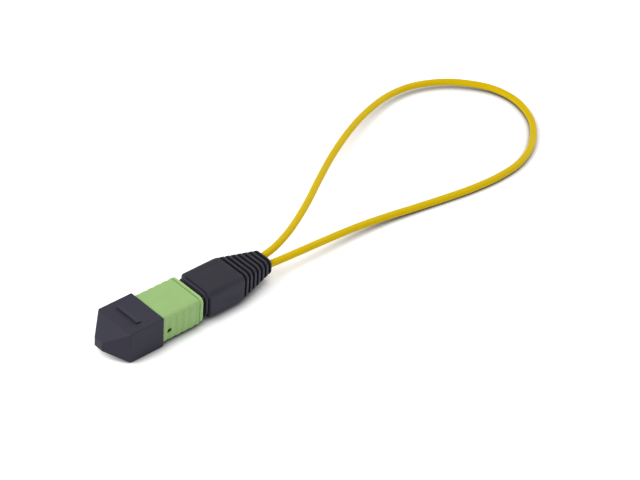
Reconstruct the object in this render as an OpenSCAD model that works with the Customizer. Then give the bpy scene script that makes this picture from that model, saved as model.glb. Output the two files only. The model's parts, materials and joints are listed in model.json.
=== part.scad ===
// Multi-fibre push-on loopback plug: a capped plug whose cord leaves the boot
// on one side, makes a loop and comes back on the other side.
// The plug's axis runs along X, with the mating face towards -X and the cord
// towards +X. The key and the cap's pad are on top, +Z.

/* [Ferrule] */
// Width of the ferrule's front
ferrule_w = 6.4; // [6.2:0.1:6.6]
// Height of the ferrule's front
ferrule_h = 2.5; // [2.3:0.1:2.7]
// Length of the ferrule, face to back
ferrule_l = 8; // [7.5:0.1:8.5]
// Width of the ferrule's rear shoulder
shoulder_w = 7; // [6.8:0.1:7.1]
// Height of the ferrule's rear shoulder
shoulder_h = 3; // [2.8:0.1:3.2]
// Length of the ferrule's rear shoulder
shoulder_l = 2.1; // [1.8:0.1:2.4]
// Tilt of the polished face
face_angle = 8; // [0:1:8]
// Diameter of the two guide holes
guide_d = 0.7; // [0.6:0.05:0.8]
// Spacing of the guide holes
guide_pitch = 4.6; // [4.5:0.1:4.8]
// How far the ferrule stands out of the housing
ferrule_out = 0.8; // [0.6:0.1:1]
// How far the ferrule can be pushed back
float_travel = 0.5; // [0.3:0.1:0.7]

/* [Fibres] */
// Number of places in the ferrule's row
fibre_count = 12; // [12:1:12]
// Spacing of the row
fibre_pitch = 0.25; // [0.24:0.01:0.26]
// Diameter of a fibre with its coating
fibre_d = 0.23; // [0.2:0.01:0.23]
// Diameter of the bare glass in the ferrule
glass_d = 0.125; // [0.1:0.005:0.14]

/* [Plug housing] */
// Width of the housing
housing_w = 9.9; // [9.7:0.1:10]
// Height of the housing
housing_h = 6; // [5.8:0.1:6.1]
// Length of the housing
housing_l = 26.85; // [26.3:0.05:27.1]
// Gap on each side of the ferrule's shoulder in the housing's room
bore_play = 0.15; // [0.1:0.05:0.2]
// Height of the room behind the housing's shoulder stop
bore_h = 4.6; // [4.4:0.1:4.8]
// Width of the key
key_w = 3; // [2.5:0.1:3.5]
// Height of the key
key_h = 0.7; // [0.5:0.05:0.75]
// Distance from the housing's front to the recesses for the adapter's hooks
hook_setback = 2.9; // [2.5:0.1:3.2]
// Length of those recesses
hook_l = 1.5; // [1.2:0.1:1.8]
// Depth of those recesses
hook_depth = 0.8; // [0.5:0.1:1]

/* [Coupling sleeve] */
// Length of the sleeve
sleeve_l = 19.75; // [19.2:0.05:20]
// Width of the sleeve
sleeve_w = 12.8; // [12.5:0.1:13]
// Height of the sleeve
sleeve_h = 8.6; // [8.4:0.1:8.8]
// Radius of the sleeve's long corners
sleeve_r = 1.2; // [1:0.1:1.6]
// How far the housing's nose stands out of the sleeve
nose_out = 5.8; // [5.5:0.1:6.1]
// Length of the rear rim
rim_l = 1.1; // [0.8:0.1:1.3]
// Rise of the rear rim
rim_rise = 0.1; // [0.05:0.05:0.2]
// Radius of the rim's corners
rim_r = 1.7; // [1.2:0.1:2]
// Number of lobes on each side
lobe_count = 5; // [4:1:5]
// Spacing of the lobes
lobe_pitch = 2.3; // [2.2:0.02:2.34]
// Plain length between the last lobe and the rim
lobe_setback = 1.35; // [1.2:0.05:1.5]
// Depth of the grooves between the lobes
lobe_depth = 0.22; // [0.1:0.02:0.26]
// How far the sleeve can be pulled back
sleeve_travel = 1.6; // [1.2:0.1:1.6]

/* [Dust cap] */
// Length of the cap's box
cap_body_l = 10.85; // [10.6:0.05:11.2]
// Length of the cap's tapered nose
cap_nose_l = 5.3; // [4.9:0.1:5.6]
// Width of the flat at the tip
cap_tip_w = 3.1; // [2.8:0.1:3.4]
// Height of the flat at the tip
cap_tip_h = 2.8; // [2.5:0.1:3.1]
// Wall of the cap
cap_wall = 0.4; // [0.35:0.05:0.6]
// How far the cap reaches over the sleeve
cap_overlap = 5.95; // [5.5:0.05:6.3]
// Distance from the front of the cap's box to the wedge pad
pad_setback = 3.9; // [3.4:0.1:4.4]
// Length of the wedge pad
pad_l = 3; // [2.5:0.1:4]
// Width of the wedge pad
pad_w = 8.4; // [6:0.1:9]
// Height of the wedge pad's front wall
pad_h = 0.6; // [0.3:0.05:0.8]

/* [Springs] */
// Length of the main spring
main_spring_l = 8; // [7.6:0.1:8.4]
// Width of the main spring, outside
main_spring_w = 6.8; // [6.6:0.1:7]
// Height of the main spring, outside
main_spring_h = 4; // [3.8:0.1:4.2]
// Wire of the main spring
main_wire_d = 0.45; // [0.35:0.05:0.5]
// Turns of the main spring
main_turns = 6; // [5:1:8]
// Length of a coupling spring
side_spring_l = 10.3; // [10:0.1:10.5]
// Outside diameter of a coupling spring
side_spring_d = 1.3; // [1.2:0.05:1.35]
// Wire of a coupling spring
side_wire_d = 0.25; // [0.2:0.05:0.3]
// Turns of a coupling spring
side_turns = 13; // [10:1:15]

/* [Rear body] */
// Width of the flange behind the sleeve
flange_w = 11.5; // [11.2:0.1:11.6]
// Height of the flange
flange_h = 7.6; // [7.4:0.1:7.7]
// Radius of the flange's corners
flange_r = 2.3; // [1.8:0.1:2.6]
// Thickness of the flange
flange_l = 0.85; // [0.7:0.05:1]
// Distance from the body's front to the barbs that lock it in the housing
barb_setback = 3.8; // [3:0.1:4.5]
// Length of the crimp post
post_l = 8; // [7.5:0.1:8.5]
// Width of the crimp post
post_w = 6.6; // [6.4:0.1:6.8]
// Height of the crimp post
post_h = 4; // [3.8:0.1:4.2]
// Thickness of the yarn under the crimp ring
yarn_t = 0.2; // [0.15:0.05:0.25]
// Wall of the crimp ring
crimp_wall = 0.45; // [0.35:0.05:0.5]
// Length of the crimp ring
crimp_l = 5.8; // [5:0.1:6.2]

/* [Boot] */
// Width of the boot's body
boot_w = 12.5; // [12.2:0.1:12.7]
// Height of the boot's body
boot_h = 8.5; // [8.3:0.1:8.6]
// Radius of the body's long corners
boot_r = 1.7; // [1.3:0.1:2.1]
// Length of the boot's body
boot_body_l = 11.6; // [11:0.1:12]
// Length of the ribbed tail
boot_tail_l = 12.65; // [12:0.05:13]
// Width of the tail's end
tail_w = 7.2; // [7:0.1:7.6]
// Height of the tail's end
tail_h = 5; // [4.8:0.1:5.3]
// Number of grooves round the tail
groove_count = 7; // [5:1:8]
// Plain length of the tail before the first groove
tail_plain_l = 1.15; // [0.8:0.05:1.4]
// Length of the ring at the tail's end
tail_ring_l = 0.55; // [0.4:0.05:0.8]
// Width of a groove
groove_l = 0.55; // [0.4:0.05:0.6]
// Depth of a groove
groove_depth = 0.35; // [0.2:0.05:0.4]
// Neck between the flange and the body
neck_l = 0.4; // [0.3:0.05:0.8]

/* [Cord] */
// Diameter of the cord
cord_d = 2.1; // [1.9:0.1:2.2]
// Distance between the two outlets
outlet_pitch = 3.8; // [3.6:0.1:4]

/* [Hidden] */

fit = 0.1;         // clearance between pieces that slide in each other
snug = 0.05;       // clearance between pieces that are pushed or glued together
past = 1;          // how far a cutter runs past the face that it opens
arc = 48;          // steps of a full circle

// Stations along the axis, counted from the middle of the ferrule's face
housing_x0 = ferrule_out;
housing_x1 = housing_x0 + housing_l;
sleeve_x0 = housing_x0 + nose_out;
sleeve_x1 = sleeve_x0 + sleeve_l;
cap_x1 = sleeve_x0 + cap_overlap;
cap_x0 = cap_x1 - cap_body_l;
cap_tip_x = cap_x0 - cap_nose_l;
flange_x1 = housing_x1 + flange_l;
boot_x0 = flange_x1 + neck_l;
boot_x1 = boot_x0 + boot_body_l;
boot_x2 = boot_x1 + boot_tail_l;

// Cap section, from the sleeve that it covers
cap_w = sleeve_w + 2 * (snug + cap_wall);
cap_h = sleeve_h + 2 * (snug + cap_wall);
cap_top_r = 0.3;
cap_bottom_r = 0.9;

// Ferrule and what sits behind it
shoulder_x = ferrule_l - shoulder_l;
stop_x = shoulder_x - snug;
bore_w = shoulder_w + 2 * bore_play;
keeper_l = 1.4;
keeper_x1 = ferrule_l + keeper_l;
spring_x1 = keeper_x1 + main_spring_l;
insert_w = 3.5;
insert_h = 1.2;
insert_x0 = 5.1;
insert_x1 = keeper_x1 + 1.2;
slot_w = fibre_count * fibre_pitch + 0.1;
slot_h = 0.36;
window_x0 = 2.9;
window_l = 1.6;
window_w = 3;

// Side springs, between the sleeve's tabs and the end of the housing's channels
tab_l = 1;
tab_w = 1.1;
channel_h = side_spring_d + 0.2;
channel_x0 = sleeve_x0 + 2.4;
tab_x0 = channel_x0 + fit;
side_spring_x0 = tab_x0 + tab_l;
channel_x1 = side_spring_x0 + side_spring_l;
side_spring_y = housing_w / 2 + fit + 0.25 - side_spring_d / 2;
channel_y = side_spring_y - side_spring_d / 2 - snug;

// Barbs that lock the rear body into the housing
barb_x = spring_x1 + barb_setback;
barb_l = 1.4;
barb_w = 3;
barb_rise = (housing_h - bore_h) / 2 - fit - snug;

// Crimp, yarn and the room for them in the boot
channel_w = 5.2;
bore_channel_h = 1.8;
crimp_x0 = flange_x1 + 1.1;
crimp_w = post_w + 2 * (yarn_t + 2 * snug + crimp_wall);
crimp_h = post_h + 2 * (yarn_t + 2 * snug + crimp_wall);
room_w = crimp_w + 2 * fit;
room_h = crimp_h + 2 * fit;
post_x1 = flange_x1 + post_l;
room_x1 = post_x1 + 2.1;
cord_x0 = room_x1 + 1.4;

// The model's own frame: centred along X, with the cap standing on Z = 0
axis_z = cap_h / 2;
shift_x = -(cap_tip_x + boot_x2) / 2;

// ---- Outlines and bars ----

// A rectangle with its own radius at the top and at the bottom
module rounded_rect(w, h, r_top, r_bottom) {
    inner = max(r_top, r_bottom);
    square([w - 2 * inner, h], center = true);
    translate([-w / 2, -h / 2 + r_bottom]) square([w, h - r_top - r_bottom]);
    for (side = [-1, 1]) {
        translate([side * (w / 2 - r_top), h / 2 - r_top]) circle(r = r_top, $fn = arc);
        translate([side * (w / 2 - r_bottom), -h / 2 + r_bottom]) circle(r = r_bottom, $fn = arc);
        if (r_top < inner)
            translate([side * (w - inner - r_top) / 2, (h - inner) / 2])
                square([inner - r_top, inner], center = true);
        if (r_bottom < inner)
            translate([side * (w - inner - r_bottom) / 2, -(h - inner) / 2])
                square([inner - r_bottom, inner], center = true);
    }
}

// A bar along X from x0 to x1, centred on the axis
module bar(x0, x1, w, h, r = 0) {
    translate([x0, 0, 0])
        rotate([90, 0, 90])
            linear_extrude(x1 - x0)
                if (r > 0) rounded_rect(w, h, r, r);
                else square([w, h], center = true);
}

// An oval tube's outline is a bar whose radius is half its height
module oval_bar(x0, x1, w, h) {
    bar(x0, x1, w, h, h / 2 - 0.01);
}

// Puts a piece of the plug into the model's frame
module in_frame() {
    translate([shift_x, 0, axis_z]) children();
}

// ---- Swept tubes ----

function unit(v) = v / norm(v);

// Corners of one ring round a path's point
function ring(point, along, ref, r, sides) =
    let (across = unit(cross(along, ref)), rise = cross(across, along))
    [for (k = [0 : sides - 1])
        let (a = 360 * (k + 0.5) / sides) point + r * (cos(a) * across + sin(a) * rise)];

// A closed tube along a path, with a radius for each point
module tube(path, radii, sides, ref) {
    last = len(path) - 1;
    rings = [for (i = [0 : last])
        let (along = unit(path[min(i + 1, last)] - path[max(i - 1, 0)]))
        each ring(path[i], along, ref, radii[i], sides)];
    walls = [for (i = [0 : last - 1], k = [0 : sides - 1])
        let (a = i * sides + k, b = i * sides + (k + 1) % sides)
        each [[a, b, b + sides], [a, b + sides, a + sides]]];
    start = [for (k = [0 : sides - 1]) sides - 1 - k];
    end = [for (k = [0 : sides - 1]) last * sides + k];
    polyhedron(points = rings, faces = concat([start], walls, [end]));
}

// Point of an oval coil: t runs from 0 to 1 along the spring. The first and
// last turn lie nearly flat, as ground ends do.
function coil_x(t, turns, l, wire) =
    let (n = t * turns)
    n < 1 ? n * wire / 2 + wire / 2
        : n > turns - 1 ? l - wire / 2 - (turns - n) * wire / 2
        : wire + (n - 1) * (l - 2 * wire) / (turns - 2);

module coil(x0, l, w, h, wire, turns, steps, sides) {
    count = turns * steps;
    path = [for (i = [0 : count])
        let (t = i / count, a = 360 * turns * t)
        [x0 + coil_x(t, turns, l, wire), (w - wire) / 2 * cos(a), (h - wire) / 2 * sin(a)]];
    tube(path, [for (p = path) wire / 2], sides, [1, 0, 0]);
}

// ---- Dust cap ----

module cap_section(w, h) {
    rounded_rect(w, h, cap_top_r, cap_bottom_r);
}

// The cap's outside: a box that tapers to a small flat at the tip
module cap_outside() {
    translate([cap_x0, 0, 0])
        rotate([90, 0, 90])
            linear_extrude(cap_body_l) cap_section(cap_w, cap_h);
    hull() {
        translate([cap_tip_x, -cap_tip_w / 2, -cap_tip_h / 2]) cube([0.01, cap_tip_w, cap_tip_h]);
        translate([cap_x0 - 0.01, 0, 0])
            rotate([90, 0, 90])
                linear_extrude(0.02) cap_section(cap_w, cap_h);
    }
}

// The wedge pad on top: a low wall towards the tip, running out to the rear
module cap_pad() {
    translate([cap_x0 + pad_setback, pad_w / 2, cap_h / 2 - snug])
        rotate([90, 0, 0])
            linear_extrude(pad_w)
                polygon([[0, 0], [0, pad_h + snug], [0.3, pad_h + snug], [pad_l, 0]]);
}

module cap_cavity() {
    room_x0 = housing_x0 - fit;
    bar(sleeve_x0 - fit, cap_x1 + past, sleeve_w + 2 * snug, sleeve_h + 2 * snug, sleeve_r + snug);
    bar(housing_x0 + 0.5, sleeve_x0, housing_w + 4 * fit, housing_h + 2 * key_h + 5 * fit, 0.6);
    hull() {
        bar(room_x0, room_x0 + 0.7, housing_w + 4 * fit, housing_h + 4 * fit);
        bar(cap_tip_x + 0.8, cap_tip_x + 0.81, cap_tip_w + 0.4, cap_tip_h - 0.2);
    }
}

module dust_cap() {
    color([0.24, 0.24, 0.29])
        in_frame()
            difference() {
                union() {
                    cap_outside();
                    cap_pad();
                }
                cap_cavity();
            }
}

// ---- Coupling sleeve ----

lobe_x0 = sleeve_x1 - rim_l - lobe_setback - lobe_count * lobe_pitch;
lobe_r = (pow(lobe_pitch / 2, 2) + pow(lobe_depth, 2)) / (2 * lobe_depth);

// Plan view of the sleeve: straight at the front, lobed along both sides
module sleeve_plan() {
    waist = sleeve_w - 2 * lobe_depth;
    translate([sleeve_x0, -waist / 2]) square([sleeve_l - rim_l / 2, waist]);
    translate([sleeve_x0, -sleeve_w / 2]) square([lobe_x0 - sleeve_x0, sleeve_w]);
    for (side = [-1, 1], i = [0 : lobe_count - 1])
        translate([lobe_x0 + (i + 0.5) * lobe_pitch, side * (sleeve_w / 2 - lobe_r)])
            circle(r = lobe_r, $fn = 96);
}

module sleeve_outside() {
    intersection() {
        bar(sleeve_x0, sleeve_x1 - rim_l / 2, sleeve_w + 2 * snug, sleeve_h, sleeve_r);
        translate([0, 0, -sleeve_h]) linear_extrude(2 * sleeve_h) sleeve_plan();
    }
    bar(sleeve_x1 - rim_l, sleeve_x1, sleeve_w + 2 * rim_rise, sleeve_h + 2 * rim_rise, rim_r);
}

// Small slanted slot low on each side, near the front
module sleeve_slots() {
    translate([lobe_x0 + 1.1 * lobe_pitch, 0, -0.8])
        rotate([0, -25, 0])
            rotate([90, 0, 0])
                linear_extrude(2 * sleeve_w, center = true)
                    hull() for (end = [-1, 1]) translate([end * 0.3, 0]) circle(r = 0.27, $fn = 24);
}

module coupling_sleeve() {
    counter_l = sleeve_travel - (housing_x1 - sleeve_x1) + 0.6;
    color([0.61, 0.80, 0.45])
        in_frame() {
            difference() {
                sleeve_outside();
                bar(sleeve_x0 - past, sleeve_x1 + past, housing_w + 2 * fit, housing_h + 2 * fit, 0.4);
                bar(sleeve_x1 - counter_l, sleeve_x1 + past, flange_w + 2 * fit, flange_h + 2 * fit, flange_r + fit);
                for (side = [-1, 1])
                    translate([side_spring_x0, side * side_spring_y - side_spring_d / 2 - snug, -channel_h / 2])
                        cube([side_spring_l + 0.3, side_spring_d + 2 * snug, channel_h]);
                sleeve_slots();
            }
            for (side = [-1, 1])
                translate([tab_x0, side * (housing_w / 2 + fit + 0.1 - tab_w / 2) - tab_w / 2, -channel_h / 2 + fit])
                    cube([tab_l, tab_w, channel_h - 2 * fit]);
        }
}

// ---- Plug housing ----

module housing_outside() {
    bevel = 0.5;
    bar(housing_x0 + bevel, housing_x1, housing_w, housing_h, 0.3);
    hull() {
        bar(housing_x0, housing_x0 + 0.01, housing_w - bevel, housing_h - bevel);
        bar(housing_x0 + bevel, housing_x0 + bevel + 0.01, housing_w, housing_h);
    }
    translate([housing_x0 + 0.6, -key_w / 2, housing_h / 2 - snug])
        cube([nose_out - 0.9, key_w, key_h + snug]);
}

module plug_housing() {
    color([0.17, 0.17, 0.19])
        in_frame()
            difference() {
                housing_outside();
                bar(housing_x0 - past, stop_x + past, ferrule_w + 2 * fit, ferrule_h + 2 * fit);
                bar(stop_x, housing_x1 + past, bore_w, bore_h, 0.5);
                for (side = [-1, 1]) {
                    translate([housing_x0 + hook_setback, side * (housing_w / 2 + past - hook_depth) - past, -housing_h])
                        cube([hook_l, 2 * past, 2 * housing_h]);
                    translate([channel_x0, side * (channel_y + past) - past, -channel_h / 2])
                        cube([channel_x1 - channel_x0, 2 * past, channel_h]);
                }
                translate([barb_x - 2 * fit, -barb_w / 2 - fit, -housing_h])
                    cube([barb_l + 4 * fit, barb_w + 2 * fit, 2 * housing_h]);
            }
}

// ---- Ferrule and its pieces ----

module ferrule() {
    lean = tan(face_angle) * ferrule_h;
    hole_d = glass_d + 0.02;
    color([0.22, 0.21, 0.2])
        in_frame()
            difference() {
                union() {
                    bar(-lean, ferrule_l, ferrule_w, ferrule_h);
                    bar(shoulder_x, ferrule_l, shoulder_w, shoulder_h);
                }
                rotate([0, face_angle, 0])
                    translate([-past - lean, -ferrule_w, -ferrule_h])
                        cube([past + lean, 2 * ferrule_w, 2 * ferrule_h]);
                for (side = [-1, 1])
                    translate([-past, side * guide_pitch / 2, 0])
                        rotate([0, 90, 0]) cylinder(d = guide_d, h = ferrule_l + 2 * past, $fn = arc);
                for (i = [0 : fibre_count - 1])
                    translate([-past, fibre_y(i), 0])
                        rotate([0, 90, 0]) cylinder(d = hole_d, h = window_x0 + 2 * past, $fn = 16);
                bar(window_x0, ferrule_l, slot_w, slot_h);
                bar(insert_x0, ferrule_l + past, insert_w + 2 * snug, insert_h + 2 * snug);
                translate([window_x0, -window_w / 2, 0]) cube([window_l, window_w, ferrule_h]);
            }
}

module window_epoxy() {
    color([0.75, 0.62, 0.3])
        in_frame()
            translate([window_x0 + 0.02, -window_w / 2 + 0.02, fibre_d / 2 + 0.02])
                cube([window_l - 0.04, window_w - 0.04, ferrule_h / 2 - fibre_d / 2 - 0.12]);
}

module ferrule_boot() {
    color([0.1, 0.1, 0.11])
        in_frame()
            difference() {
                bar(insert_x0 + snug, insert_x1, insert_w, insert_h, 0.3);
                bar(insert_x0 - past, insert_x1 + past, slot_w, slot_h);
            }
}

module pin_keeper() {
    color([0.72, 0.72, 0.74])
        in_frame()
            difference() {
                bar(ferrule_l, keeper_x1, shoulder_w - fit, shoulder_h + 0.6, 0.4);
                bar(ferrule_l - past, keeper_x1 + past, insert_w + 2 * snug, insert_h + 2 * snug);
            }
}

module main_spring() {
    color([0.75, 0.76, 0.78])
        in_frame() coil(keeper_x1, main_spring_l, main_spring_w, main_spring_h, main_wire_d, main_turns, 20, 8);
}

module side_spring(side) {
    color([0.75, 0.76, 0.78])
        in_frame()
            translate([0, side * side_spring_y, 0])
                coil(side_spring_x0, side_spring_l, side_spring_d, side_spring_d, side_wire_d, side_turns, 12, 6);
}

module coupling_spring_left() side_spring(-1);
module coupling_spring_right() side_spring(1);

// ---- Rear body, yarn and crimp ring ----

module rear_body() {
    notch_pitch = 0.8;
    color([0.16, 0.16, 0.18])
        in_frame()
            difference() {
                union() {
                    bar(spring_x1, housing_x1, bore_w - 2 * fit, bore_h - 2 * fit, 0.45);
                    bar(housing_x1, flange_x1, flange_w, flange_h, flange_r);
                    oval_bar(flange_x1, post_x1, post_w, post_h);
                    for (side = [0, 1])
                        mirror([0, 0, side])
                            translate([barb_x, barb_w / 2, bore_h / 2 - 2 * fit])
                                rotate([90, 0, 0])
                                    linear_extrude(barb_w)
                                        polygon([[0, 0], [0.9, barb_rise + fit], [barb_l, barb_rise + fit], [barb_l, 0]]);
                }
                bar(spring_x1 - past, post_x1 + past, channel_w, bore_channel_h, 0.85);
                for (x = [crimp_x0 + notch_pitch : notch_pitch : crimp_x0 + crimp_l - notch_pitch])
                    difference() {
                        bar(x, x + 0.3, post_w + past, post_h + past);
                        oval_bar(x - past, x + past, post_w - 0.3, post_h - 0.3);
                    }
            }
}

// Half of the yarn, spread over the post, with two strands back to the cord
module yarn(side) {
    yarn_w = post_w + 2 * (snug + yarn_t);
    yarn_h = post_h + 2 * (snug + yarn_t);
    strand_r = 0.18;
    strand_y = side * outlet_pitch / 2;
    high = yarn_h / 2 - strand_r;
    low = cord_d / 2 - strand_r - 2 * snug;
    color([0.88, 0.78, 0.36])
        in_frame() {
            difference() {
                oval_bar(crimp_x0 - 0.2, crimp_x0 + crimp_l + 0.4, yarn_w, yarn_h);
                oval_bar(crimp_x0 - past, crimp_x0 + crimp_l + past, post_w + 2 * snug, post_h + 2 * snug);
                translate([0, -side * (yarn_w / 2 - snug), 0]) bar(crimp_x0 - past, crimp_x0 + crimp_l + past, yarn_w, 2 * yarn_h);
            }
            for (up = [-1, 1])
                tube(
                    [
                        [crimp_x0 + crimp_l + 0.2, strand_y, up * high],
                        [post_x1 + 0.25, strand_y, up * high],
                        [post_x1 + 0.9, strand_y, up * (high + low) / 2],
                        [room_x1 - 0.2, strand_y, up * low],
                        [cord_x0 - snug, strand_y, up * low]
                    ],
                    [for (i = [0 : 4]) strand_r], 6, [0, 1, 0]);
        }
}

module yarn_left() yarn(-1);
module yarn_right() yarn(1);

module crimp_ring() {
    color([0.78, 0.76, 0.7])
        in_frame()
            difference() {
                oval_bar(crimp_x0, crimp_x0 + crimp_l, crimp_w, crimp_h);
                oval_bar(crimp_x0 - past, crimp_x0 + crimp_l + past, crimp_w - 2 * crimp_wall, crimp_h - 2 * crimp_wall);
            }
}

// ---- Boot ----

// The tail's outline, drawn in by inset all round
module tail(inset) {
    hull() {
        translate([boot_x1 - 0.01, 0, 0])
            rotate([90, 0, 90])
                linear_extrude(0.01)
                    rounded_rect(boot_w - 2 * inset, boot_h - 2 * inset, boot_r, boot_r);
        translate([boot_x2 - 0.01, 0, 0])
            rotate([90, 0, 90])
                linear_extrude(0.01)
                    rounded_rect(tail_w - 2 * inset, tail_h - 2 * inset, boot_r - inset, boot_r - inset);
    }
}

module boot_outside() {
    groove_x0 = boot_x1 + tail_plain_l;
    groove_pitch = (boot_x2 - tail_ring_l - groove_l - groove_x0) / (groove_count - 1);
    bevel = 0.3;
    bar(flange_x1, boot_x0 + past, boot_w - 2, boot_h - 2, boot_r);
    bar(boot_x0 + bevel, boot_x1, boot_w, boot_h, boot_r);
    bar(boot_x0, boot_x0 + bevel, boot_w - bevel, boot_h - bevel, boot_r - bevel / 2);
    tail(groove_depth);
    intersection() {
        tail(0);
        for (i = [0 : groove_count])
            bar(
                i == 0 ? boot_x1 - past : groove_x0 + (i - 1) * groove_pitch + groove_l,
                i == groove_count ? boot_x2 + past : groove_x0 + i * groove_pitch,
                boot_w + past, boot_h + past);
    }
}

module bend_boot() {
    outlet_d = cord_d + 2 * snug;
    color([0.2, 0.2, 0.23])
        in_frame()
            difference() {
                boot_outside();
                oval_bar(flange_x1 - past, room_x1, room_w, room_h);
                for (side = [-1, 1])
                    translate([room_x1 - past, side * outlet_pitch / 2, 0])
                        rotate([0, 90, 0]) cylinder(d = outlet_d, h = boot_x2 - room_x1 + 2 * past, $fn = arc);
            }
}

// ---- Fibres ----

function fibre_y(i) = (i - (fibre_count - 1) / 2) * fibre_pitch;
function ease(t) = let (u = min(1, max(0, t))) u * u * (3 - 2 * u);

// One run of a fibre, from the face to its place in the cord's end: bare
// glass in the ferrule, coated behind it. Behind the insert the row first
// parts into an upper and a lower layer and then draws together, so that
// neighbours stay clear of each other.
module fibre_run(i) {
    side = i < fibre_count / 2 ? -1 : 1;
    column = floor((i % (fibre_count / 2)) / 2) - 1;
    layer = i % 2 == 0 ? 1 : -1;
    bunch_y = side * outlet_pitch / 2 + column * (fibre_d + snug);
    bunch_z = layer * (fibre_d / 2 + snug);
    fan_x0 = insert_x1 + float_travel;
    fan = [for (k = [0 : 10])
        let (t = k / 10, e = ease(2 * t - 1))
        [
            fan_x0 + t * (room_x1 - fan_x0),
            fibre_y(i) * (1 - e) + bunch_y * e,
            bunch_z * ease(2 * t)
        ]];
    path = concat(
        [[0.02, fibre_y(i), 0], [window_x0 + 0.1, fibre_y(i), 0], [window_x0 + 0.4, fibre_y(i), 0]],
        fan,
        [[cord_x0 - snug, bunch_y, bunch_z]]);
    tube(path, [for (k = [0 : len(path) - 1]) (k < 2 ? glass_d : fibre_d) / 2], 8, [0, 0, 1]);
}

// A looped fibre shows twice: where it leaves the row and at the mirrored place
module looped_fibre(i, tint) {
    color(tint)
        in_frame() {
            fibre_run(i);
            fibre_run(fibre_count - 1 - i);
        }
}

module fibre_1_12() looped_fibre(0, [0.1, 0.3, 0.75]);
module fibre_2_11() looped_fibre(1, [0.95, 0.5, 0.1]);
module fibre_3_10() looped_fibre(2, [0.1, 0.6, 0.25]);
module fibre_4_9() looped_fibre(3, [0.45, 0.27, 0.12]);
module fibre_5_8() looped_fibre(4, [0.5, 0.52, 0.55]);
module fibre_6_7() looped_fibre(5, [0.93, 0.93, 0.9]);

// ---- Cord ----

// Route of the loop in the model's frame, from the near outlet round to the
// far one, where the plug stands on Z = 0
cord_route = [
    [15.3, -1.9, 4.75], [28.2, -1.9, 4.75], [33.2, -1.9, 4.4], [40.2, -1.9, 3.9], [50.2, -1.9, 3.3],
    [61.2, -2, 2.5], [72.2, -2.8, 1.75], [83.2, -4.4, 1.25], [94.2, -6.3, 1.1], [104.2, -7.8, 1.1],
    [114.2, -8.4, 1.1], [124.2, -7.5, 1.1], [133.2, -4.2, 1.1], [140.8, 1.2, 1.1], [146.4, 7.7, 1.1],
    [149.7, 16.4, 1.2], [149.1, 24.6, 1.4], [145, 31.4, 1.7], [138.1, 37.6, 1.9], [128.2, 41.5, 2.2],
    [117.2, 41.7, 2.5], [105.2, 38.7, 2.9], [93.2, 33.9, 3.3], [80.2, 27.3, 3.7], [68.2, 20.2, 4.1],
    [56.2, 12.8, 4.4], [45.2, 6.9, 4.6], [37.2, 3.6, 4.75], [32.2, 2.3, 4.75], [28.2, 1.9, 4.75], [15.3, 1.9, 4.75]
];

// Point between b and c of a smooth curve through a, b, c and d
function between(a, b, c, d, t) =
    b + t / 2 * (c - a) + t * t * (a - 2.5 * b + 2 * c - d / 2) + t * t * t * (1.5 * (b - c) + (d - a) / 2);

module loop_cord() {
    last = len(cord_route) - 1;
    path = [for (i = [0 : last - 1], t = [0, 0.5])
        between(cord_route[max(i - 1, 0)], cord_route[i], cord_route[i + 1], cord_route[min(i + 2, last)], t)];
    color([0.85, 0.72, 0.1])
        tube(concat(path, [cord_route[last]]), [for (i = [0 : len(path)]) cord_d / 2], 8, [0, 0, 1]);
}

dust_cap();
coupling_sleeve();
plug_housing();
ferrule();
window_epoxy();
ferrule_boot();
pin_keeper();
main_spring();
coupling_spring_left();
coupling_spring_right();
rear_body();
yarn_left();
yarn_right();
crimp_ring();
bend_boot();
loop_cord();
fibre_1_12();
fibre_2_11();
fibre_3_10();
fibre_4_9();
fibre_5_8();
fibre_6_7();
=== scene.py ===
"""A multi-fibre push-on loopback plug with its dust cap on, lying on a white floor.

The plug's axis runs along X, with the mating face towards -X. The sections
follow the plug as it is put together, from the ferrule out to the dust cap.
"""
import json
import math

import bmesh
import bpy
from mathutils import Matrix, Vector


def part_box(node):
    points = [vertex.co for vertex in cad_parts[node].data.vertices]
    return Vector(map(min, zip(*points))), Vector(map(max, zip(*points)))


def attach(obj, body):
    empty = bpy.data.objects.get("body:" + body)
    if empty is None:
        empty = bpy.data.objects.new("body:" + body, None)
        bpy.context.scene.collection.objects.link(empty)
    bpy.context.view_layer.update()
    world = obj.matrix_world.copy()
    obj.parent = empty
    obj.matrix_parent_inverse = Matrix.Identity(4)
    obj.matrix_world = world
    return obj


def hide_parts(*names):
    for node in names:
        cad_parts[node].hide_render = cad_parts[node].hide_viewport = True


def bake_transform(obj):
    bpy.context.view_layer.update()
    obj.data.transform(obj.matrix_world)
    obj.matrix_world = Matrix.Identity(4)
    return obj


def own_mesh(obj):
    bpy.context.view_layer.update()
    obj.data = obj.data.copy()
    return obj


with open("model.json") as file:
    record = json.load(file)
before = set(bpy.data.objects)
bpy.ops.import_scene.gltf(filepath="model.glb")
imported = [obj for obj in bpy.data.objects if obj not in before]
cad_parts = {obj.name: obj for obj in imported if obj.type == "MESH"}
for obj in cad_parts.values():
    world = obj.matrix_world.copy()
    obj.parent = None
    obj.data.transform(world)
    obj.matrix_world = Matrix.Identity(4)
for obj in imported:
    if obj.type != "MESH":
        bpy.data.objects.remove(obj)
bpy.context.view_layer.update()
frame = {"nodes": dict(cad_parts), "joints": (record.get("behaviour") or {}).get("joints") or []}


# ---- Ferrule ----
# The block that holds the twelve fibre ends in a row between two guide holes.
# It is moulded in a glass-filled plastic, and its face is ground and polished
# at a slight angle.

MM = 0.001
WELD = 0.001 * MM  # corners closer than this become one
CLOUD = 3 * MM  # size of the clouds in a moulded surface
FLOW = (4, 1, 1)  # and their stretch along the plug
FERRULE_EDGE = 0.04 * MM
FERRULE_BLACK = (0.035, 0.032, 0.03)


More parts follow.
